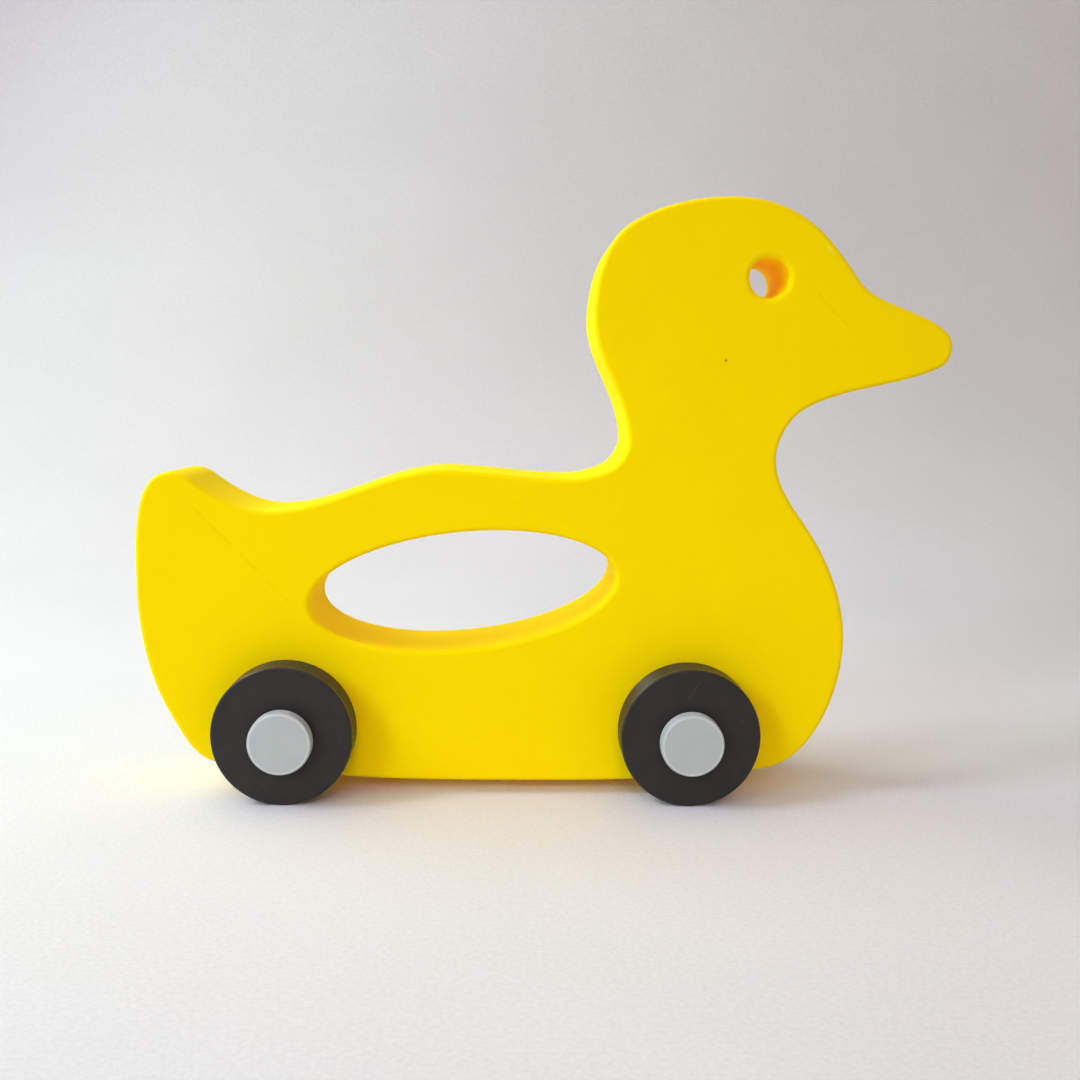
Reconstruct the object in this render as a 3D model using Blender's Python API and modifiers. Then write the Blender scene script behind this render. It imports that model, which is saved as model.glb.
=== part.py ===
"""A push-along duck: a thick flat body with a hand hole, on four wheels held by headed pegs.

Metres, +Z up. The duck faces +X and stands on Z = 0, with the middle of its length at the origin.
Its right side faces -Y. The body is a slab between two planes of constant Y.
"""

from math import cos, pi, radians, sin

import bmesh
import bpy
from mathutils import Vector

# Body, overall
LENGTH = 0.160              # tail end to beak tip
HEIGHT = 0.1188             # floor to crown
THICKNESS = 0.022           # of the slab
EDGE_ROUND = 0.001          # radius along every edge of the slab

# Head, measured back from the beak tip and down from the crown
CROWN_BACK = 0.0435
FOREHEAD_BACK, FOREHEAD_DROP = 0.0295, 0.004
BROW_BACK, BROW_DROP = 0.0187, 0.0157
BRIDGE_BACK, BRIDGE_DROP = 0.008, 0.0215
BEAK_DROP = 0.028
BILL_BACK, BILL_DROP = 0.002, 0.032
CHIN_BACK, CHIN_DROP = 0.0285, 0.0405
THROAT_BACK, THROAT_DROP = 0.034, 0.0505
NAPE_BACK, NAPE_DROP = 0.0707, 0.023
SKULL_BACK, SKULL_DROP = 0.0637, 0.0053
EYE_BACK, EYE_DROP = 0.0366, 0.0153
EYE_DIAMETER = 0.0077

# Breast and belly, measured back from the beak tip and up from the floor
BREAST_BACK, BREAST_HEIGHT = 0.019, 0.0313
KEEL_BACK, KEEL_HEIGHT = 0.0345, 0.0053
BELLY_HEIGHT = 0.0027

# Tail, measured ahead of the tail end and up from the floor
RUMP_AHEAD, RUMP_HEIGHT = 0.015, 0.0063
HAUNCH_AHEAD, HAUNCH_HEIGHT = 0.006, 0.0163
TAIL_HEIGHT = 0.0433
TIP_AHEAD, TIP_HEIGHT = 0.007, 0.0645
SWEEP_AHEAD, SWEEP_HEIGHT = 0.011, 0.0631
SADDLE_AHEAD, SADDLE_HEIGHT = 0.0255, 0.057

# Back, between the saddle and the foot of the neck
HUMP_SHARE, HUMP_HEIGHT = 0.52, 0.0655
DIP_SHARE, DIP_HEIGHT = 0.885, 0.064
NECK_FOOT_BACK, NECK_FOOT_HEIGHT = 0.0675, 0.0657
NECK_BACK, NECK_HEIGHT = 0.0635, 0.0718

# Hand hole under the hump
HANDLE_LENGTH = 0.0611
HANDLE_HEIGHT = 0.0234
HANDLE_TILT = radians(6.5)
HANDLE_AHEAD_OF_HUMP = 0.004
HANDLE_DROP = 0.024         # hump to the middle of the hole

# Wheels
WHEEL_DIAMETER = 0.0276
WHEEL_WIDTH = 0.0071
WHEEL_ROUND = 0.0008        # radius of the wheel's outer edges
REAR_AXLE_AHEAD = 0.0295    # of the tail end
FRONT_AXLE_BACK = 0.0506    # from the beak tip

# Pegs
PEG_DIAMETER = 0.006
PEG_HEAD_DIAMETER = 0.0124
PEG_HEAD_HEIGHT = 0.0025
PEG_HEAD_ROUND = 0.0005
PEG_LEAD = 0.0008           # chamfer at the tip
PEG_TIP_GAP = 0.001         # left between two tips inside the body

# Fits
WHEEL_PLAY = 0.0007         # each peg hangs this far below the middle of its wheel
RUNNING_GAP = 0.0003        # wheel to peg, and wheel to body and head
SEAT_GAP = 0.0003           # peg to the bore in the body

# Smoothness of round forms
OUTLINE_STEPS = 10
WHEEL_STEPS = 56
PEG_STEPS = 36
ROUND_STEPS = 3

BEAK_X = LENGTH / 2
TAIL_X = -LENGTH / 2
WHEEL_Z = WHEEL_DIAMETER / 2
PEG_Z = WHEEL_Z - WHEEL_PLAY
SIDE_Y = THICKNESS / 2
REACH = 1 / 3               # of the way to the next station, for each curve handle
CIRCLE_REACH = 4 / 3 * (2 ** 0.5 - 1)


def clear_scene():
    for item in list(bpy.data.objects):
        bpy.data.objects.remove(item)


def new_collection(name):
    collection = bpy.data.collections.new(name)
    bpy.context.scene.collection.children.link(collection)
    return collection


def new_material(name, colour, roughness):
    material = bpy.data.materials.new(name)
    material.use_nodes = True
    shader = material.node_tree.nodes["Principled BSDF"]
    shader.inputs["Base Color"].default_value = (*colour, 1.0)
    shader.inputs["Roughness"].default_value = roughness
    shader.inputs["Metallic"].default_value = 0.0
    return material


def at_head(back, drop):
    return Vector((BEAK_X - back, HEIGHT - drop))


def at_front(back, height):
    return Vector((BEAK_X - back, height))


def at_tail(ahead, height):
    return Vector((TAIL_X + ahead, height))


def at_back(share, height):
    """A place on the back, a share of the way from the saddle to the foot of the neck."""
    saddle = TAIL_X + SADDLE_AHEAD
    foot = BEAK_X - NECK_FOOT_BACK
    return Vector((saddle + share * (foot - saddle), height))


def duck_stations():
    """Places round the duck, clockwise from the crown, each with the outline's heading in degrees."""
    throat = at_head(THROAT_BACK, THROAT_DROP)
    breast = at_front(BREAST_BACK, BREAST_HEIGHT)
    chest = Vector((0.5 * (throat.x + breast.x), 0.6 * throat.y + 0.4 * breast.y))
    return (
        (at_head(CROWN_BACK, 0), 0),
        (at_head(FOREHEAD_BACK, FOREHEAD_DROP), -34),
        (at_head(BROW_BACK, BROW_DROP), -53),
        (at_head(BRIDGE_BACK, BRIDGE_DROP), -23),
        (at_head(0, BEAK_DROP), -90),
        (at_head(BILL_BACK, BILL_DROP), -154),
        (at_head(CHIN_BACK, CHIN_DROP), -150),
        (throat, -90),
        (chest, -56),
        (breast, -90),
        (at_front(KEEL_BACK, KEEL_HEIGHT), -172),
        (Vector((0, BELLY_HEIGHT)), 180),
        (at_tail(RUMP_AHEAD, RUMP_HEIGHT), 170),
        (at_tail(HAUNCH_AHEAD, HAUNCH_HEIGHT), 119),
        (at_tail(0, TAIL_HEIGHT), 90),
        (at_tail(TIP_AHEAD, TIP_HEIGHT), 0),
        (at_tail(SWEEP_AHEAD, SWEEP_HEIGHT), -37),
        (at_tail(SADDLE_AHEAD, SADDLE_HEIGHT), 0),
        (at_back(HUMP_SHARE, HUMP_HEIGHT), 0),
        (at_back(DIP_SHARE, DIP_HEIGHT), 0),
        (at_front(NECK_FOOT_BACK, NECK_FOOT_HEIGHT), 23),
        (at_front(NECK_BACK, NECK_HEIGHT), 91),
        (at_head(NAPE_BACK, NAPE_DROP), 90),
        (at_head(SKULL_BACK, SKULL_DROP), 33),
    )


def add_spline(curve, knots):
    """Add a closed Bezier loop. Each knot is a place, its direction, and the reach back and ahead."""
    spline = curve.splines.new("BEZIER")
    spline.bezier_points.add(len(knots) - 1)
    for point, (place, direction, back, ahead) in zip(spline.bezier_points, knots):
        point.handle_left_type = "FREE"
        point.handle_right_type = "FREE"
        point.co = place.to_3d()
        point.handle_left = (place - back * direction).to_3d()
        point.handle_right = (place + ahead * direction).to_3d()
    spline.use_cyclic_u = True


def outline_knots(stations):
    knots = []
    for i, (place, heading) in enumerate(stations):
        before = stations[i - 1][0]
        after = stations[(i + 1) % len(stations)][0]
        direction = Vector((cos(radians(heading)), sin(radians(heading))))
        knots.append((place, direction, REACH * (place - before).length, REACH * (after - place).length))
    return knots


def ellipse_knots(centre, half_length, half_height, tilt):
    along = Vector((cos(tilt), sin(tilt)))
    across = Vector((-sin(tilt), cos(tilt)))
    tall = CIRCLE_REACH * half_height
    wide = CIRCLE_REACH * half_length
    return [
        (centre + half_length * along, across, tall, tall),
        (centre + half_height * across, -along, wide, wide),
        (centre - half_length * along, -across, tall, tall),
        (centre - half_height * across, along, wide, wide),
    ]


def make_mesh_object(name, curve_object, collection):
    """Turn a curve object into a closed mesh object in the same place."""
    bpy.context.view_layer.update()
    evaluated = curve_object.evaluated_get(bpy.context.evaluated_depsgraph_get())
    mesh = bpy.data.meshes.new_from_object(evaluated)
    work = bmesh.new()
    work.from_mesh(mesh)
    bmesh.ops.remove_doubles(work, verts=work.verts, dist=1e-6)
    bmesh.ops.recalc_face_normals(work, faces=work.faces)
    work.to_mesh(mesh)
    work.free()
    mesh.name = name
    result = bpy.data.objects.new(name, mesh)
    result.matrix_world = curve_object.matrix_world.copy()
    collection.objects.link(result)
    bpy.data.objects.remove(curve_object)
    return result


def make_body(name, material, collection, cutters):
    """The slab: one outline with the hand hole and the eye in it, rounded along every edge, then bored."""
    curve = bpy.data.curves.new(name + "_outline", "CURVE")
    curve.dimensions = "2D"
    curve.fill_mode = "BOTH"
    curve.resolution_u = OUTLINE_STEPS
    curve.extrude = THICKNESS / 2 - EDGE_ROUND
    curve.bevel_depth = EDGE_ROUND
    curve.bevel_resolution = ROUND_STEPS - 1
    curve.offset = -EDGE_ROUND
    add_spline(curve, outline_knots(duck_stations()))
    hump = at_back(HUMP_SHARE, HUMP_HEIGHT)
    handle = hump + Vector((HANDLE_AHEAD_OF_HUMP, -HANDLE_DROP))
    add_spline(curve, ellipse_knots(handle, HANDLE_LENGTH / 2, HANDLE_HEIGHT / 2, HANDLE_TILT))
    eye = at_head(EYE_BACK, EYE_DROP)
    add_spline(curve, ellipse_knots(eye, EYE_DIAMETER / 2, EYE_DIAMETER / 2, 0))
    outline = bpy.data.objects.new(name + "_outline", curve)
    outline.rotation_euler = (pi / 2, 0, 0)
    collection.objects.link(outline)
    body = make_mesh_object(name, outline, collection)
    body.data.materials.append(material)
    for label, x in axle_places():
        cut = body.modifiers.new("bore_" + label, "BOOLEAN")
        cut.operation = "DIFFERENCE"
        cut.solver = "EXACT"
        cut.object = make_bore(label, x, cutters)
    body.data.shade_smooth()
    body.data.set_sharp_from_angle(angle=radians(40))
    return body


def axle_places():
    return (("rear", TAIL_X + REAR_AXLE_AHEAD), ("front", BEAK_X - FRONT_AXLE_BACK))


def make_bore(label, x, cutters):
    """A rod across the whole body, as wide as the peg and its seat gap."""
    mesh = bpy.data.meshes.new("bore_" + label)
    work = bmesh.new()
    radius = PEG_DIAMETER / 2 + SEAT_GAP
    bmesh.ops.create_cone(work, cap_ends=True, segments=PEG_STEPS, radius1=radius, radius2=radius,
                          depth=2 * THICKNESS)
    work.to_mesh(mesh)
    work.free()
    rod = bpy.data.objects.new("bore_" + label, mesh)
    rod.location = (x, 0, PEG_Z)
    rod.rotation_euler = (pi / 2, 0, 0)
    rod.hide_render = True
    rod.display_type = "WIRE"
    cutters.objects.link(rod)
    return rod


def quarter(centre, radius, start):
    """Points of a quarter circle, clockwise from the start angle in degrees."""
    x, z = centre
    angles = [radians(start - 90 * i / ROUND_STEPS) for i in range(ROUND_STEPS + 1)]
    return [(x + radius * cos(a), z + radius * sin(a)) for a in angles]


def turned_mesh(name, profile, closed):
    """A mesh that holds a profile in the XZ plane, ready to be turned about Z."""
    mesh = bpy.data.meshes.new(name)
    work = bmesh.new()
    points = [work.verts.new((x, 0, z)) for x, z in profile]
    for a, b in zip(points, points[1:]):
        work.edges.new((a, b))
    if closed:
        work.edges.new((points[-1], points[0]))
    work.to_mesh(mesh)
    work.free()
    return mesh


def turn(name, mesh, steps, location, rotation, material, collection):
    """An object that turns its profile about its own Z, which lies along the axle."""
    piece = bpy.data.objects.new(name, mesh)
    piece.location = location
    piece.rotation_euler = rotation
    collection.objects.link(piece)
    screw = piece.modifiers.new("turned", "SCREW")
    screw.axis = "Z"
    screw.steps = steps
    screw.render_steps = steps
    screw.use_merge_vertices = True
    screw.merge_threshold = 1e-5
    screw.use_smooth_shade = True
    if not mesh.materials:
        mesh.materials.append(material)
    return piece


def wheel_profile():
    """Ring section, from the bore over the outer face, down the tread and back along the inner face."""
    bore = PEG_DIAMETER / 2 + WHEEL_PLAY + RUNNING_GAP
    rim = WHEEL_DIAMETER / 2
    half = WHEEL_WIDTH / 2
    profile = [(bore, half)]
    profile += quarter((rim - WHEEL_ROUND, half - WHEEL_ROUND), WHEEL_ROUND, 90)
    profile += quarter((rim - WHEEL_ROUND, WHEEL_ROUND - half), WHEEL_ROUND, 0)
    profile += [(bore, -half)]
    return profile


def peg_profile():
    """From the middle of the head's flat face, round its rim and down the shank to the chamfered tip.

    Z = 0 is the plane of the body's side, and +Z points out of the body.
    """
    shank = PEG_DIAMETER / 2
    head = PEG_HEAD_DIAMETER / 2
    seat = WHEEL_WIDTH + 2 * RUNNING_GAP
    top = seat + PEG_HEAD_HEIGHT
    tip = (PEG_TIP_GAP - THICKNESS) / 2
    profile = [(0, top)]
    profile += quarter((head - PEG_HEAD_ROUND, top - PEG_HEAD_ROUND), PEG_HEAD_ROUND, 90)
    profile += [(head, seat), (shank, seat), (shank, tip + PEG_LEAD), (shank - PEG_LEAD, tip), (0, tip)]
    return profile


def make_running_gear(materials, collection):
    """Four wheels, each on its own headed peg, two on each side."""
    wheel_mesh = turned_mesh("wheel", wheel_profile(), closed=True)
    peg_mesh = turned_mesh("axle_peg", peg_profile(), closed=False)
    for end, x in axle_places():
        for side, sign in (("right", -1), ("left", 1)):
            outward = (-sign * pi / 2, 0, 0)
            wheel_y = sign * (SIDE_Y + RUNNING_GAP + WHEEL_WIDTH / 2)
            label = end + "_" + side
            turn("wheel_" + label, wheel_mesh, WHEEL_STEPS, (x, wheel_y, WHEEL_Z), outward,
                 materials["wheel"], collection)
            turn("axle_peg_" + label, peg_mesh, PEG_STEPS, (x, sign * SIDE_Y, PEG_Z), outward,
                 materials["peg"], collection)


def main():
    clear_scene()
    parts = new_collection("wheeled_duck")
    cutters = new_collection("cutters")
    materials = {
        "body": new_material("yellow_plastic", (0.90, 0.66, 0.004), 0.45),
        "wheel": new_material("black_plastic", (0.040, 0.036, 0.033), 0.55),
        "peg": new_material("grey_plastic", (0.44, 0.47, 0.47), 0.45),
    }
    make_body("duck_body", materials["body"], parts, cutters)
    make_running_gear(materials, parts)


main()
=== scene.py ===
# %% [markdown]
# # A push-along duck in printed plastic
# The toy is a thick flat duck with a hand hole and an eye hole. It rolls on four black wheels, and
# a grey peg with a flat head holds each wheel. All of it was printed in plastic, layer upon layer,
# with the body, the wheels and the peg heads lying flat on the printer's bed.
# The CAD model already gives every piece its true size and place. This lesson makes the finer
# surface that a photograph shows: even round edges, print lines, and the three plastics.

from math import pi, radians, sqrt, tau

import bmesh
import bpy
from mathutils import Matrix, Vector


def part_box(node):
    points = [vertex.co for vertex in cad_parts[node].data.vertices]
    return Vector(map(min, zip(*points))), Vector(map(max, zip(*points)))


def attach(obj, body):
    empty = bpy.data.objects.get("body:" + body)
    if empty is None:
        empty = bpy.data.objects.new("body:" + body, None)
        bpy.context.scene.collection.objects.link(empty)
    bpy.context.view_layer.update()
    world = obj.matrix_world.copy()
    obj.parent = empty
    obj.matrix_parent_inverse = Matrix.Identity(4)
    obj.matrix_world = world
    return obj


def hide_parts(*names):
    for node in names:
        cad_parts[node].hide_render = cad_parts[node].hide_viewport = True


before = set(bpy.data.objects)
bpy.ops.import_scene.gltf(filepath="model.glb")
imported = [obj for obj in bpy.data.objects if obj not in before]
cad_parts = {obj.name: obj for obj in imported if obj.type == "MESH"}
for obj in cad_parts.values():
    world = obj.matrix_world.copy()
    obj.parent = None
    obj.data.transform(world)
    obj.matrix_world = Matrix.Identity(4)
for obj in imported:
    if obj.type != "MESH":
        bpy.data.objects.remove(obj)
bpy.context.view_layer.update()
MM = 0.001
print("nodes:", ", ".join(sorted(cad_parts)))

# %% [markdown]
# ## The camera
# The picture looks square at the duck's right side from only a quarter of a metre, a little above
# its back. From so near, the tread of each wheel shows on the side towards the middle, and the far
# rim of the hand hole shows through it. The camera could be aimed at a point with a constraint.
# Plain numbers are used instead, because they were found by matching the whole outline.

# %% Set up the camera
CAMERA_PLACE = (-0.0079, -0.2463, 0.0802)
CAMERA_ANGLES = (radians(83.142), radians(-0.756), radians(-1.703))
LENS = 40
SENSOR = 36
NEAREST = 0.01

camera_data = bpy.data.cameras.new("camera")
camera_data.lens = LENS
camera_data.sensor_width = SENSOR
camera_data.clip_start = NEAREST
camera = bpy.data.objects.new("camera", camera_data)
camera.location = CAMERA_PLACE
camera.rotation_euler = CAMERA_ANGLES
bpy.context.scene.collection.objects.link(camera)
bpy.context.scene.camera = camera
bpy.context.scene.view_settings.view_transform = "Standard"
print("camera at", CAMERA_PLACE, "with a", LENS, "mm lens")

# %% [markdown]
# ## The lamps
# The toy stands beside a window on its left. One large soft lamp, a little behind the toy, lights the
# tail, the nape and the back. A small bright one is the pane that glints on the treads. Two weak
# lamps in front have narrow beams, as boxes with a grid have, so their light fades towards the head
# and the floor. A sky texture could light all this at once, but lamps show plainly what each of them
# does.

# %% Hang the lamps
AIM = Vector((-0.01, 0, 0.03))
LAMPS = {
    "window": dict(place=(-0.345, 0.126, 0.359), size=0.30, power=1.14, colour=(0.83, 1.0, 0.81)),
    "pane": dict(place=(-0.682, -0.183, 0.686), size=0.24, power=3.83, colour=(0.70, 0.78, 1.0)),
    "front_box": dict(place=(0, -0.696, 0.438), size=0.30, power=0.060, colour=(1.0, 0.72, 0.93),
                      beam=radians(20)),
    "left_box": dict(place=(-0.50, -0.50, 0.30), size=0.30, power=0.080, colour=(0.63, 1.0, 0.98),
                     beam=radians(25)),
}


def hang_lamp(name, place, size, power, colour, beam=pi):
    """A square soft lamp that faces the duck. Its beam is the angle that the light spreads over."""
    data = bpy.data.lights.new(name, "AREA")
    data.shape = "SQUARE"
    data.size = size
    data.spread = beam
    data.energy = power
    data.color = colour
    lamp = bpy.data.objects.new(name, data)
    lamp.location = place
    lamp.rotation_euler = (AIM - Vector(place)).to_track_quat("-Z", "Y").to_euler()
    lamp.visible_camera = False
    bpy.context.scene.collection.objects.link(lamp)


for name, facts in LAMPS.items():
    hang_lamp(name, **facts)
print("lamps:", ", ".join(LAMPS))

# %% [markdown]
# ## The room
# Light also comes back from the room, warm and from all sides. A room could be built round the toy,
# but an even colour of the world does the same. Bright yellow walls pass most of their light on, so
# light may bounce more often here than Blender lets it by default.

# %% Light the room
ROOM_COLOUR = (0.452, 0.367, 0.31, 1)
BOUNCES = 12

room = bpy.data.worlds.new("room")
room.use_nodes = True
background = room.node_tree.nodes["Background"]
background.inputs["Color"].default_value = ROOM_COLOUR
background.inputs["Strength"].default_value = 1.0
bpy.context.scene.world = room
bpy.context.scene.cycles.diffuse_bounces = BOUNCES
print("room colour:", ROOM_COLOUR[:3], "with", BOUNCES, "bounces")

# %% [markdown]
# ## Sums on shader sockets
# A pattern such as print lines is a sum of a few sines and masks. To add and link a Math node by
# hand for each plus sign would hide the pattern. So one small class wraps an output socket, and
# Python's own signs build the nodes.

# %% A socket that can be added and multiplied
class Wire:
    """One output socket in a material. Signs on it add Math nodes, and add() adds any other node."""

    def __init__(self, tree, socket=None):
        self.tree = tree
        self.socket = socket

    def add(self, kind, settings, sockets, output=0):
        """A new node: its settings come first, then a value or a link for each of its sockets."""
        node = self.tree.nodes.new(kind)
        for name, value in settings.items():
            setattr(node, name, value)
        for name, value in sockets.items():
            if isinstance(value, Wire):
                self.tree.links.new(value.socket, node.inputs[name])
            else:
                node.inputs[name].default_value = value
        return Wire(self.tree, node.outputs[output])

    def math(self, operation, *values):
        return self.add("ShaderNodeMath", {"operation": operation}, dict(enumerate(values)))

    def __add__(self, other):
        return self.math("ADD", self, other)

    def __sub__(self, other):
        return self.math("SUBTRACT", self, other)

    def __mul__(self, other):
        return self.math("MULTIPLY", self, other)

    def __radd__(self, other):
        return self.math("ADD", other, self)

    def __rsub__(self, other):
        return self.math("SUBTRACT", other, self)

    def __rmul__(self, other):
        return self.math("MULTIPLY", other, self)

    def __abs__(self):
        return self.math("ABSOLUTE", self)

    def root(self):
        return self.math("SQRT", self)

    def wave(self, pitch):
        """A sine from -1 to 1 that repeats once in each pitch."""
        return self.math("SINE", self * (tau / pitch))

    def rise(self, low, high):
        """0 below low, 1 above high, and a soft step between them."""
        ends = {"Value": self, "From Min": low, "From Max": high}
        return self.add("ShaderNodeMapRange", {"interpolation_type": "SMOOTHSTEP"}, ends)

    def xyz(self):
        """The three parts of a vector."""
        return [self.add("ShaderNodeSeparateXYZ", {}, {0: self}, part) for part in "XYZ"]

    def noise(self, size, detail=2.0):
        """Cloudy noise from 0 to 1, with clouds of about this size, over a vector."""
        sockets = {"Vector": self, "Scale": 1 / size, "Detail": detail}
        return self.add("ShaderNodeTexNoise", {}, sockets, "Fac")

    def blend(self, colour, other):
        """The first colour where this is 0, and the other where it is 1."""
        return self.add("ShaderNodeMix", {"data_type": "RGBA"}, {0: self, 6: colour, 7: other}, 2)

    def feed(self, shader, socket):
        self.tree.links.new(self.socket, shader.inputs[socket])


print("sockets can be added, subtracted and multiplied")

# %% [markdown]
# ## How each material starts
# Print lines and scratches have true sizes, so every material reads Object coordinates, which are
# metres. UV maps would need unwrapping, and Generated coordinates stretch with the piece. A Mapping
# node sets the pattern on a piece's own centre. Fine relief goes in as bump, with heights in metres.

# %% Start a material
NOISE_SPAN = 0.3, 0.7


def start_material(name, centre=(0, 0, 0), turn=0.0):
    """A new material, its shader, and Object coordinates set on a centre and turned about Y."""
    material = bpy.data.materials.new(name)
    material.use_nodes = True
    tree = material.node_tree
    shader = tree.nodes["Principled BSDF"]
    place = Wire(tree).add("ShaderNodeTexCoord", {}, {}, "Object")
    sockets = {"Vector": place, "Location": centre, "Rotation": (0, turn, 0)}
    return material, shader, place.add("ShaderNodeMapping", {"vector_type": "TEXTURE"}, sockets)


def raise_surface(height, shader):
    """Feed a height in metres to the shader as bump."""
    bump = height.add("ShaderNodeBump", {}, {"Strength": 1.0, "Distance": 1.0, "Height": height})
    bump.feed(shader, "Normal")


print("noise is spread from", NOISE_SPAN, "to the full range of each colour")

# %% [markdown]
# ## White paper
# The sheet under the toy is pale and a little cool. An even white would look like empty space, so
# fine grain and wide soft clouds vary its colour, and the grain is raised a little.

# %% Mix the paper's white
PAPER_WHITES = (0.747, 0.742, 0.769, 1), (0.815, 0.810, 0.838, 1)
PAPER_GRAIN = 0.8 * MM
PAPER_CLOUD = 60 * MM
PAPER_HEIGHT = 0.05 * MM
PAPER_GLOSS = 0.2
GRAIN_SHARE = 0.75


def paper_white():
    material, shader, place = start_material("paper")
    grain = place.noise(PAPER_GRAIN, 3.0)
    cloud = place.noise(PAPER_CLOUD)
    tone = GRAIN_SHARE * grain + (1 - GRAIN_SHARE) * cloud
    tone.rise(*NOISE_SPAN).blend(*PAPER_WHITES).feed(shader, "Base Color")
    (0.75 + 0.1 * grain).feed(shader, "Roughness")
    raise_surface(PAPER_HEIGHT * grain, shader)
    shader.inputs["Specular IOR Level"].default_value = PAPER_GLOSS
    return material


white = paper_white()
print("paper white with", len(white.node_tree.nodes), "nodes")

# %% [markdown]
# ## The paper
# The sheet lies flat and then curves up behind the toy, so no edge shows. A plane and a wall would
# meet in a line. Here one edge is extruded forwards for the floor, spun up for the bend and extruded
# again for the back.

# %% Lay the paper
PAPER_HALF = 1.6
FOLD_Y = 0.20
BEND_RADIUS = 0.25
BEND_STEPS = 24
PAPER_TOP = 1.2


def verts_of(geometry):
    return [item for item in geometry if isinstance(item, bmesh.types.BMVert)]


def edges_of(geometry):
    return [item for item in geometry if isinstance(item, bmesh.types.BMEdge)]


def lay_paper():
    work = bmesh.new()
    ends = [work.verts.new((x, FOLD_Y, 0)) for x in (-PAPER_HALF, PAPER_HALF)]
    fold = work.edges.new(ends)
    flat = bmesh.ops.extrude_edge_only(work, edges=[fold])
    bmesh.ops.translate(work, verts=verts_of(flat["geom"]), vec=(0, -PAPER_HALF - FOLD_Y, 0))
    bend = bmesh.ops.spin(work, geom=[*ends, fold], cent=(0, FOLD_Y, BEND_RADIUS), axis=(1, 0, 0),
                          angle=pi / 2, steps=BEND_STEPS)
    back = bmesh.ops.extrude_edge_only(work, edges=edges_of(bend["geom_last"]))
    bmesh.ops.translate(work, verts=verts_of(back["geom"]), vec=(0, 0, PAPER_TOP))
    bmesh.ops.recalc_face_normals(work, faces=work.faces)
    mesh = bpy.data.meshes.new("paper")
    work.to_mesh(mesh)
    work.free()
    mesh.shade_smooth()
    mesh.materials.append(white)
    paper = bpy.data.objects.new("paper", mesh)
    bpy.context.scene.collection.objects.link(paper)
    return paper


paper = lay_paper()
print("paper:", len(paper.data.polygons), "faces, folded at", FOLD_Y, "m")

# %% [markdown]
# ## Small marks
# A printed toy isn't flawless. The nozzle leaves a thin raised seam where it crosses a finished side,
# a burnt grain of plastic leaves a speck, and play leaves scratches. They could be painted in an
# image, but a stroke from one point to another is only three soft steps, and it stays sharp.

# %% Helpers for strokes and specks
SPECK_CORE = 0.4


def stroke(x, z, start, end, width):
    """1 on the straight line from start to end, given in mm, and 0 beside it."""
    begin = Vector(start) * MM
    way = Vector(end) * MM - begin
    length = way.length
    way.normalize()
    along = (x - begin.x) * way.x + (z - begin.y) * way.y
    beside = (x - begin.x) * way.y - (z - begin.y) * way.x
    on_line = 1 - abs(beside).rise(0, width)
    past_end = along.rise(length - width, length)
    return on_line * along.rise(-width, width) * (1 - past_end)


def speck(x, z, centre, radius):
    """1 in a small soft round spot whose centre is given in mm, and 0 outside it."""
    u = x - centre[0] * MM
    v = z - centre[1] * MM
    return 1 - (u * u + v * v).root().rise(SPECK_CORE * radius, radius)


print("a speck is darkest in the inner", SPECK_CORE, "of its radius")

# %% [markdown]
# ## Yellow plastic
# The body is a clean bright yellow with a satin gloss. The plastic lets some light through, which
# comes out orange in the holes and under the belly. Subsurface scattering could follow that light,
# but it is slow here, so a faint glow stands in. The right side has two seams along its print lines,
# a dark speck on the cheek and a nick on the brow. Their places are in mm along X and Z.

# %% Choose the yellows and place the marks
SIDE_YELLOWS = (0.972, 0.737, 0.0003, 1), (0.982, 0.750, 0.0003, 1)
# The walls' paler yellow is partly painted light, standing in for more light from above.
WALL_YELLOW = (0.985, 0.790, 0.0005, 1)
SIDE_GLOW = (0.2, 0.02, 0, 1)
WALL_GLOW = (1.0, 0.12, 0, 1)
GLOW_STRENGTH = 0.038
YELLOW_GLOSS = 0.11
YELLOW_TINT = (1.0, 0.75, 0.1, 1)
SPECK_BROWN = (0.30, 0.18, 0.002, 1)
SEAM_YELLOW = (0.945, 0.700, 0.0003, 1)
NICK_YELLOW = (1.0, 0.83, 0.06, 1)
SEAMS = ((-68.9, 58.0), (-49.9, 39.0)), ((52.9, 100.6), (59.6, 93.9))
SEAM_WIDTH = 0.35 * MM
BROW_NICK = (54.4, 109.65), (55.43, 108.35)
NICK_WIDTH = 0.3 * MM
CHEEK_SPECK = (35.3, 87.5)
SPECK_RADIUS = 0.35 * MM
print("marks on the right side:", len(SEAMS), "seams, a nick and a speck")

# %% [markdown]
# On the flat sides the printer laid its last lines side by side at 45 degrees, and on the walls the
# layers lie one over the other. Both are far finer than the outline, so they are bump and a change
# of roughness, not faces. A mask tells the sides from the walls by their distance from the middle,
# and noise breaks the seams into dashes.

# %% Mix the yellow plastic
LINE_PITCH = 0.45 * MM
LINE_HEIGHT = 0.002 * MM
LINE_WANDER = 0.05 * MM
LAYER_PITCH = 0.2 * MM
LAYER_HEIGHT = 0.005 * MM
LAYER_WANDER = 0.04 * MM
GRAIN_HEIGHT = 0.004 * MM
SEAM_HEIGHT = 0.03 * MM
NICK_HEIGHT = 0.04 * MM
DASH_LENGTH = 2.5 * MM
DASH_SPAN = 0.38, 0.5
EDGE_ROUND = 1.0 * MM
body_low, body_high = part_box("duck_body")
THICKNESS = body_high.y - body_low.y


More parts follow.
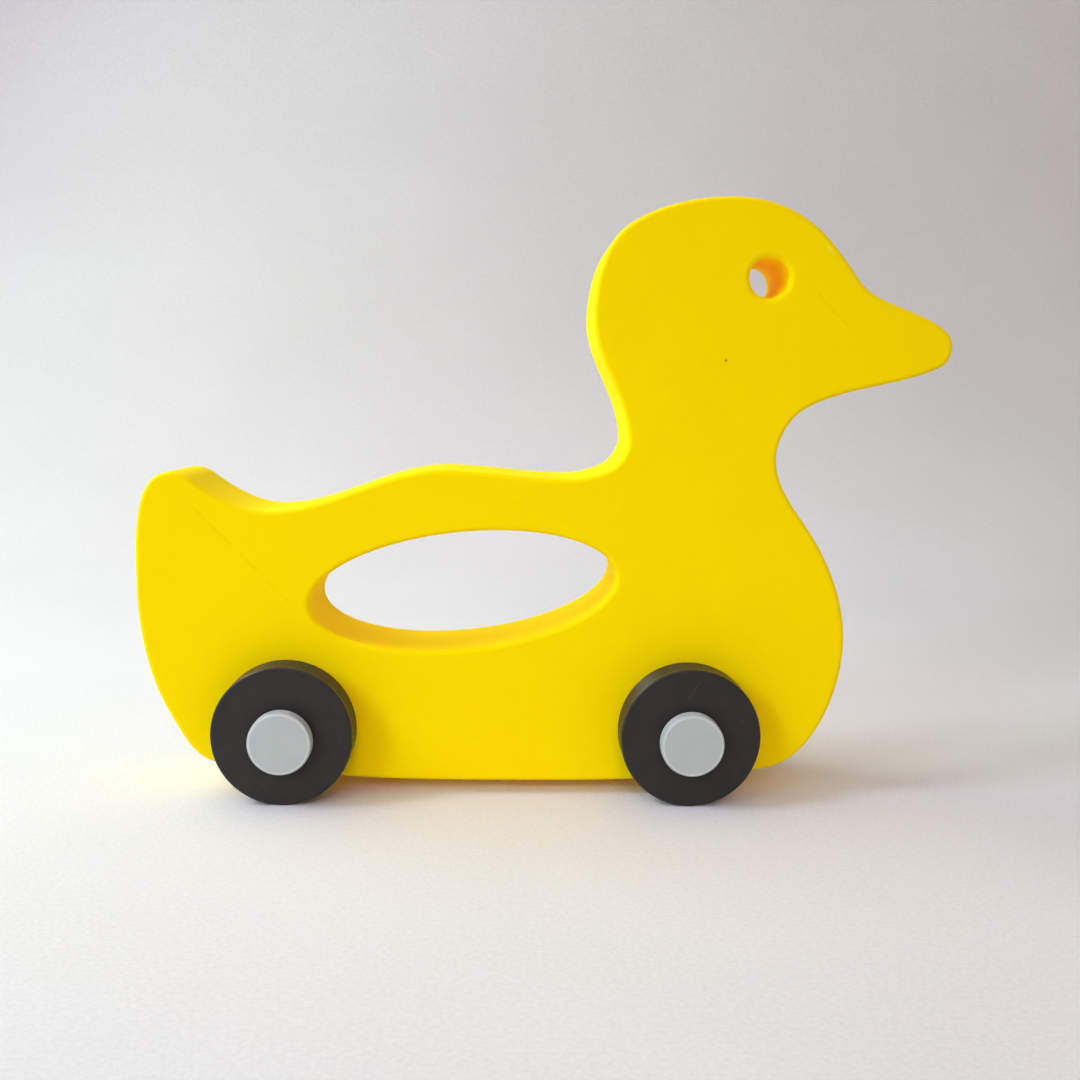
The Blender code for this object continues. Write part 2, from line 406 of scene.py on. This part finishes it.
def yellow_plastic():
    material, shader, place = start_material("yellow_plastic")
    x, y, z = place.xyz()
    side = abs(y).rise(THICKNESS / 2 - EDGE_ROUND, THICKNESS / 2 - 0.1 * EDGE_ROUND)
    right = side * (0 - y).rise(0, EDGE_ROUND)
    cloud = place.noise(14 * MM)
    grain = place.noise(0.35 * MM)
    lines = ((x + z) * sqrt(0.5) + LINE_WANDER * cloud).wave(LINE_PITCH)
    layers = (y + LAYER_WANDER * cloud).wave(LAYER_PITCH)
    dashes = place.noise(DASH_LENGTH).rise(*DASH_SPAN)
    seams = sum(stroke(x, z, *ends, SEAM_WIDTH) for ends in SEAMS) * dashes * right
    nick = stroke(x, z, *BROW_NICK, NICK_WIDTH) * right
    dot = speck(x, z, CHEEK_SPECK, SPECK_RADIUS) * right
    # The walls are a paler yellow than the sides: partly the layered surface, and partly painted light
    # that stands in for more light from above.
    colour = side.blend(WALL_YELLOW, cloud.rise(*NOISE_SPAN).blend(*SIDE_YELLOWS))
    colour = nick.blend(seams.blend(colour, SEAM_YELLOW), NICK_YELLOW)
    dot.blend(colour, SPECK_BROWN).feed(shader, "Base Color")
    # The emission is painted light: a glow for the light that comes through the plastic, orange and
    # strong on the walls and faint on the sides.
    side.blend(WALL_GLOW, SIDE_GLOW).feed(shader, "Emission Color")
    (0.80 - 0.34 * side + 0.06 * grain).feed(shader, "Roughness")
    print_lines = LINE_HEIGHT * lines * side + LAYER_HEIGHT * layers * (1 - side)
    marks = SEAM_HEIGHT * seams + NICK_HEIGHT * nick
    raise_surface(print_lines + GRAIN_HEIGHT * grain + marks, shader)
    shader.inputs["Specular IOR Level"].default_value = YELLOW_GLOSS
    shader.inputs["Specular Tint"].default_value = YELLOW_TINT
    shader.inputs["Emission Strength"].default_value = GLOW_STRENGTH
    return material


yellow = yellow_plastic()
print("yellow plastic with", len(yellow.node_tree.nodes), "nodes")

# %% [markdown]
# ## The body
# The real body is one slab with every edge rounded. Its outline is already in the CAD model, so it
# isn't drawn again: the model is sliced through the middle with bisect_plane, and the slice is the
# drawing. A copy is merged first, because the CAD mesh is loose triangles.

# %% Slice the outline out of the CAD body
MERGE = 1e-6
STRAIGHT = radians(0.05)


def slice_outline(node):
    """The loops that a CAD node leaves in the plane Y = 0, as edges alone."""
    work = bmesh.new()
    work.from_mesh(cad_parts[node].data)
    bmesh.ops.remove_doubles(work, verts=work.verts, dist=MERGE)
    whole = work.verts[:] + work.edges[:] + work.faces[:]
    bmesh.ops.bisect_plane(work, geom=whole, dist=MERGE / 10, plane_co=(0, 0, 0), plane_no=(0, 1, 0),
                           clear_inner=True, clear_outer=True)
    bmesh.ops.dissolve_limit(work, angle_limit=STRAIGHT, verts=work.verts, edges=work.edges)
    return work


slab = slice_outline("duck_body")
print("outline:", len(slab.edges), "edges")

# %% [markdown]
# The CAD outline is a chain of short straight edges. A subdivision surface would smooth it, but it
# would also shrink it. So each edge is halved, and the new point is set on the smooth curve through
# its four neighbours. The old points stay, and the walls take the light without facets.

# %% Smooth the outline
SMOOTHINGS = 2


def walk(vert, came_from):
    """The next point of a loop, away from the point before."""
    return next(edge.other_vert(vert) for edge in vert.link_edges if edge.other_vert(vert) != came_from)


def smooth_loops(work):
    """Halve every edge, with its new point on the cubic curve through two points on either side."""
    halved = bmesh.ops.bisect_edges(work, edges=work.edges, cuts=1)
    for middle in verts_of(halved["geom_split"]):
        a, b = (edge.other_vert(middle) for edge in middle.link_edges)
        before = walk(walk(a, middle), a)
        after = walk(walk(b, middle), b)
        middle.co = (9 * (a.co + b.co) - before.co - after.co) / 16


for _ in range(SMOOTHINGS):
    smooth_loops(slab)
print("outline:", len(slab.edges), "edges after smoothing")

# %% [markdown]
# The outline is now filled, holes left open, and extruded to the slab's thickness. A Solidify
# modifier could do that too, but the rims are needed as real edges for the next step.

# %% Raise the slab
RIGHT = (0, -1, 0)


def raise_slab(work):
    bmesh.ops.triangle_fill(work, edges=work.edges, use_beauty=True, normal=RIGHT)
    bmesh.ops.translate(work, verts=work.verts, vec=(0, -THICKNESS / 2, 0))
    raised = bmesh.ops.extrude_face_region(work, geom=work.faces[:])
    bmesh.ops.translate(work, verts=verts_of(raised["geom"]), vec=(0, THICKNESS, 0))
    bmesh.ops.recalc_face_normals(work, faces=work.faces)


raise_slab(slab)
print("slab:", round(THICKNESS / MM, 2), "mm thick,", len(slab.faces), "faces")

# %% [markdown]
# A bevel rounds every rim: the eye's a little more than the others, and those of the bores for the
# pegs only slightly. A Bevel modifier would take one width for all of them, so the rims are sorted
# by place first.

# %% Round the rims
RIM_ANGLE = radians(80)
ROUND_SEGMENTS = 8
BORE_ROUND = 0.2 * MM
BORE_REACH = 4 * MM
EYE_ROUND = 1.25 * MM
EYE_REACH = 5 * MM
EYE_BEHIND_BEAK = 36.6 * MM
EYE_BELOW_CROWN = 15.3 * MM


def middle_of(node):
    """The middle of a node's box, set in the plane Y = 0: a point on the axis of a wheel or peg."""
    low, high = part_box(node)
    return Vector(((low.x + high.x) / 2, 0, (low.z + high.z) / 2))


BORES = [middle_of(f"axle_peg_{end}_right") for end in ("rear", "front")]
EYE = Vector((body_high.x - EYE_BEHIND_BEAK, 0, body_high.z - EYE_BELOW_CROWN))


def is_rim(edge):
    level = abs(edge.verts[0].co.y - edge.verts[1].co.y) < MERGE
    return level and edge.calc_face_angle() > RIM_ANGLE


def is_near(edge, centre, reach):
    return (edge.verts[0].co - centre).xz.length < reach


def round_rims(work):
    rims = [edge for edge in work.edges if is_rim(edge)]
    bores = [edge for edge in rims if any(is_near(edge, bore, BORE_REACH) for bore in BORES)]
    eye = [edge for edge in rims if is_near(edge, EYE, EYE_REACH)]
    outer = [edge for edge in rims if edge not in bores and edge not in eye]
    for edges, radius in ((bores, BORE_ROUND), (eye, EYE_ROUND), (outer, EDGE_ROUND)):
        bmesh.ops.bevel(work, geom=edges, offset=radius, offset_type="OFFSET", affect="EDGES",
                        segments=ROUND_SEGMENTS, profile=0.5, clamp_overlap=False, material=-1)


round_rims(slab)
print("rims rounded by", EDGE_ROUND / MM, "mm, the eye's by", EYE_ROUND / MM, "mm")

# %% [markdown]
# The filled sides are long thin triangles that a bevel can fold, so they are taken out and filled
# again inside the new rims. Both sides are filled as seen from the right, which gives them the same
# triangles, and then the normals are turned outwards. On a closed body every edge has two faces.

# %% Fill the sides again
def lies_on_side(face):
    return all(abs(abs(vert.co.y) - THICKNESS / 2) < MERGE for vert in face.verts)


def refill_sides(work):
    flat = [face for face in work.faces if lies_on_side(face)]
    bmesh.ops.delete(work, geom=flat, context="FACES")
    for sign in (-1, 1):
        rim = [edge for edge in work.edges if edge.is_boundary and sign * edge.verts[0].co.y > 0]
        bmesh.ops.triangle_fill(work, edges=rim, use_beauty=True, normal=RIGHT)
    bmesh.ops.recalc_face_normals(work, faces=work.faces)


refill_sides(slab)
faults = sum(len(edge.link_faces) != 2 for edge in slab.edges)
print("slab:", len(slab.faces), "faces,", faults, "edges without two faces")

# %% [markdown]
# A finished piece stands for its CAD node and moves with the same body.
# Weighted normals keep the flat sides flat right up to the rounded rims.

# %% Set the body in its place
def set_piece(name, work, material, body, node):
    mesh = bpy.data.meshes.new(name)
    work.to_mesh(mesh)
    work.free()
    mesh.shade_smooth()
    mesh.materials.append(material)
    piece = bpy.data.objects.new(name, mesh)
    bpy.context.scene.collection.objects.link(piece)
    piece.modifiers.new("even_shading", "WEIGHTED_NORMAL").keep_sharp = True
    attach(piece, body)
    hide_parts(node)
    print(name, "stands for", node, "with", len(mesh.polygons), "faces")


set_piece("printed_body", slab, yellow, "body", "duck_body")

# %% [markdown]
# ## Black plastic
# The wheels are a warm black with little gloss. Their flat faces carry the printer's rings near the
# rim and fine lines across the middle. Each wheel came off the bed at its own angle, so each has
# its own material, turned about its own axle, with the scratches of its own play. Rolling rubs the
# tread smooth, so it has a clear coat that shines there. The tread is also a little paler: partly
# from the rubbing, and partly a painted sheen for the glint that the lamps put on it.

# %% Mix the black plastic
BLACKS = (0.0125, 0.0095, 0.0085, 1), (0.0175, 0.0135, 0.0120, 1)
RUBBED_BLACK = (0.045, 0.040, 0.036, 1)
TREAD_WEAR_AND_SHEEN_BLACK = (0.030, 0.024, 0.019, 1)
RINGS_START = 11 * MM, 11.4 * MM
TREAD_START = 13.5 * MM, 13.75 * MM
RING_HEIGHT = 0.003 * MM
SCRATCH_DEPTH = 0.01 * MM
SCRATCH_WIDTH = 0.16 * MM
BLACK_GLOSS = 0.4
COAT_ROUGHNESS = 0.25


def black_plastic(name, centre, turn, scratches):
    material, shader, place = start_material(name, centre, turn)
    x, y, z = place.xyz()
    cloud = place.noise(4 * MM, 4.0)
    grain = place.noise(0.3 * MM)
    radius = (x * x + z * z).root()
    rings = radius.wave(LINE_PITCH)
    lines = (x + z).wave(LINE_PITCH * sqrt(2))
    edge = radius.rise(*RINGS_START)
    tread = radius.rise(*TREAD_START)
    rubbed = sum(stroke(x, z, *ends, SCRATCH_WIDTH) for ends in scratches) * (0.3 + 0.7 * grain)
    # The paler tread is partly wear and partly a painted sheen.
    colour = tread.blend(cloud.rise(*NOISE_SPAN).blend(*BLACKS), TREAD_WEAR_AND_SHEEN_BLACK)
    rubbed.blend(colour, RUBBED_BLACK).feed(shader, "Base Color")
    (0.46 + 0.08 * grain + 0.06 * cloud - 0.22 * tread).feed(shader, "Roughness")
    (0.5 * tread).feed(shader, "Coat Weight")
    print_lines = RING_HEIGHT * rings * edge + LINE_HEIGHT * lines * (1 - edge)
    raise_surface(print_lines + GRAIN_HEIGHT * grain - SCRATCH_DEPTH * rubbed, shader)
    shader.inputs["Specular IOR Level"].default_value = BLACK_GLOSS
    shader.inputs["Coat Roughness"].default_value = COAT_ROUGHNESS
    return material


print("black plastic is ready to be mixed for each wheel")

# %% [markdown]
# ## Turned shapes
# Wheels and pegs are round. Each could be built from cylinders, but a section that is spun about the
# axle, as on a lathe, keeps clean rings of faces. A section starts as a few points of a radius and a
# place along the axle, and a bevel rounds its corners.

# %% Draw a section and spin it
CORNER_SEGMENTS = 6
SHARP = radians(60)


def draw_section(corners, axle):
    """A closed loop of points given as (radius, Y), standing on the axle."""
    work = bmesh.new()
    points = [work.verts.new((axle.x, y, axle.z + radius)) for radius, y in corners]
    for a, b in zip(points, points[1:] + points[:1]):
        work.edges.new((a, b))
    return work, points


def round_corners(work, corners, radius):
    bmesh.ops.bevel(work, geom=corners, offset=radius, offset_type="OFFSET", affect="VERTICES",
                    segments=CORNER_SEGMENTS, profile=0.5, clamp_overlap=False, material=-1)


def spin_section(work, axle, steps):
    bmesh.ops.spin(work, geom=work.verts[:] + work.edges[:], cent=axle, axis=(0, 1, 0), angle=tau,
                   steps=steps, use_merge=True)
    bmesh.ops.remove_doubles(work, verts=work.verts, dist=MERGE)
    bmesh.ops.recalc_face_normals(work, faces=work.faces)
    for edge in work.edges:
        edge.smooth = edge.calc_face_angle() < SHARP


print("sections get", CORNER_SEGMENTS, "segments at each round corner")

# %% [markdown]
# A printed wall is a stack of layers, each a small round bead. Bump would show them on the face but
# not at the outline, so the beads are cut into the section: four points to a bead, and each point is
# sunk by its share of the bead's depth.

# %% Cut layers into a section
BEAD_DEPTH = 0.07 * MM
BEAD_SHAPE = 0.2, 0, 0.2, 1.0


def longest_edge(work, radius, axle):
    """The longest edge of a section that lies at this radius."""
    level = [e for e in work.edges if all(abs(v.co.z - axle.z - radius) < MERGE for v in e.verts)]
    return max(level, key=lambda edge: edge.calc_length())


def bead_edge(work, edge):
    """Cut an edge that runs along the axle into printed layers."""
    beads = round(edge.calc_length() / LAYER_PITCH)
    cut = bmesh.ops.subdivide_edges(work, edges=[edge], cuts=len(BEAD_SHAPE) * beads - 1)
    points = sorted(verts_of(cut["geom_inner"]), key=lambda vert: vert.co.y)
    for first, share in enumerate(BEAD_SHAPE):
        sunk = points[first::len(BEAD_SHAPE)]
        bmesh.ops.translate(work, verts=sunk, vec=(0, 0, -share * BEAD_DEPTH))


print("layers are", LAYER_PITCH / MM, "mm high and", BEAD_DEPTH / MM, "mm deep")

# %% [markdown]
# ## The wheels
# A wheel is a flat ring with rounded edges, and its tread shows the layers. Its section starts as
# four points. The rim's corners get a small round, and those of the bore a lead, so that the peg
# slides in. The scratches are in mm from the axle, along X and Z.

# %% Turn the wheels
WHEEL_ROUND = 0.5 * MM
WHEEL_STEPS = 160
BORE_RADIUS = 4.0 * MM
BORE_LEAD = 0.4 * MM
WHEEL_TURNS = {"rear_right": 0.0, "front_right": 0.0, "rear_left": 1.9, "front_left": 2.7}
SCRATCHES = {
    "rear_right": [((11.2, -0.8), (11.5, -0.3)), ((-4.5, -9.0), (-3.2, -10.4))],
    "front_right": [((-0.8, 7.8), (1.6, 11.6)), ((3.8, 9.6), (4.2, 10.0)), ((9.7, 3.2), (10.4, 3.8))],
    "rear_left": [((-6.5, 7.2), (-8.4, 7.9))],
    "front_left": [((8.2, -6.0), (9.6, -3.9)), ((-9.8, 1.0), (-10.2, 2.6))],
}


def turn_wheel(node, axle):
    low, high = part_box(node)
    rim = (high.z - low.z) / 2
    corners = (BORE_RADIUS, low.y), (rim, low.y), (rim, high.y), (BORE_RADIUS, high.y)
    work, points = draw_section(corners, axle)
    round_corners(work, points[1:3], WHEEL_ROUND)
    round_corners(work, [points[0], points[3]], BORE_LEAD)
    bead_edge(work, longest_edge(work, rim, axle))
    spin_section(work, axle, WHEEL_STEPS)
    return work


for spot, turn in WHEEL_TURNS.items():
    node = f"wheel_{spot}"
    axle = middle_of(node)
    black = black_plastic(f"black_plastic_{spot}", axle, turn, SCRATCHES[spot])
    set_piece(f"printed_wheel_{spot}", turn_wheel(node, axle), black, f"{spot}_wheel", node)

# %% [markdown]
# ## Grey plastic
# The pegs are a cool light grey. On the flat head the printer's rings close in to a small dot in the
# middle. A thin ring at the edge of the face is a little smoother, and it is painted lighter: a
# painted highlight for the light that the rounded rim of the head catches.

# %% Mix the grey plastic
GREYS = (0.43, 0.472, 0.468, 1), (0.45, 0.492, 0.488, 1)
RIM_HIGHLIGHT_GREY = (0.57, 0.60, 0.595, 1)
HEAD_RADIUS = 6.2 * MM
HEAD_TOP = 21.2 * MM
RIM_START = HEAD_RADIUS - 0.7 * MM, HEAD_RADIUS - 0.55 * MM
RIM_END = HEAD_RADIUS - 0.4 * MM, HEAD_RADIUS - 0.2 * MM
RIM_LEVEL = HEAD_TOP - 0.6 * MM, HEAD_TOP - 0.4 * MM
DOT_EDGE = 0.15 * MM, 0.5 * MM
DOT_DEPTH = 0.03 * MM
FINE_GRAIN_HEIGHT = 0.003 * MM


def grey_plastic(name, centre, turn):
    material, shader, place = start_material(name, centre, turn)
    x, y, z = place.xyz()
    cloud = place.noise(5 * MM)
    grain = place.noise(0.25 * MM)
    radius = (x * x + z * z).root()
    rings = radius.wave(LINE_PITCH)
    # The rim ring carries a painted highlight.
    rim = (radius.rise(*RIM_START) - radius.rise(*RIM_END)) * abs(y).rise(*RIM_LEVEL)
    dot = 1 - radius.rise(*DOT_EDGE)
    rim.blend(cloud.rise(*NOISE_SPAN).blend(*GREYS), RIM_HIGHLIGHT_GREY).feed(shader, "Base Color")
    (0.36 + 0.08 * grain - 0.08 * rim).feed(shader, "Roughness")
    raise_surface(LINE_HEIGHT * rings + FINE_GRAIN_HEIGHT * grain - DOT_DEPTH * dot, shader)
    return material


print("grey plastic is ready to be mixed for each peg")

# %% [markdown]
# ## The pegs
# A peg is one turned shape: a flat head with a rounded rim, a shank that the wheel turns on, and a
# tip with a lead that is pressed into the body. Its section is spun like the wheel's. The side of
# the head is high enough to show its layers, so they are cut in as well.

# %% Turn the pegs
SHANK_RADIUS = 3.0 * MM
HEAD_HEIGHT = 2.5 * MM
HEAD_ROUND = 0.5 * MM
TIP_LEAD = 0.8 * MM
PEG_STEPS = 96
PEG_TURNS = {"rear_right": 0.0, "front_right": 1.1, "rear_left": 2.2, "front_left": 0.6}


def turn_peg(node, axle):
    low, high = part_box(node)
    head = (high.z - low.z) / 2
    top, tip = sorted((low.y, high.y), key=abs, reverse=True)
    out = 1 if top > 0 else -1
    under = top - out * HEAD_HEIGHT
    corners = ((0, top), (head, top), (head, under), (SHANK_RADIUS, under),
               (SHANK_RADIUS, tip + out * TIP_LEAD), (SHANK_RADIUS - TIP_LEAD, tip), (0, tip))
    work, points = draw_section(corners, axle)
    work.edges.remove(work.edges.get((points[0], points[-1])))
    round_corners(work, points[1:2], HEAD_ROUND)
    bead_edge(work, longest_edge(work, head, axle))
    spin_section(work, axle, PEG_STEPS)
    return work


for spot, turn in PEG_TURNS.items():
    node = f"axle_peg_{spot}"
    axle = middle_of(node)
    grey = grey_plastic(f"grey_plastic_{spot}", axle, turn)
    set_piece(f"printed_peg_{spot}", turn_peg(node, axle), grey, "body", node)
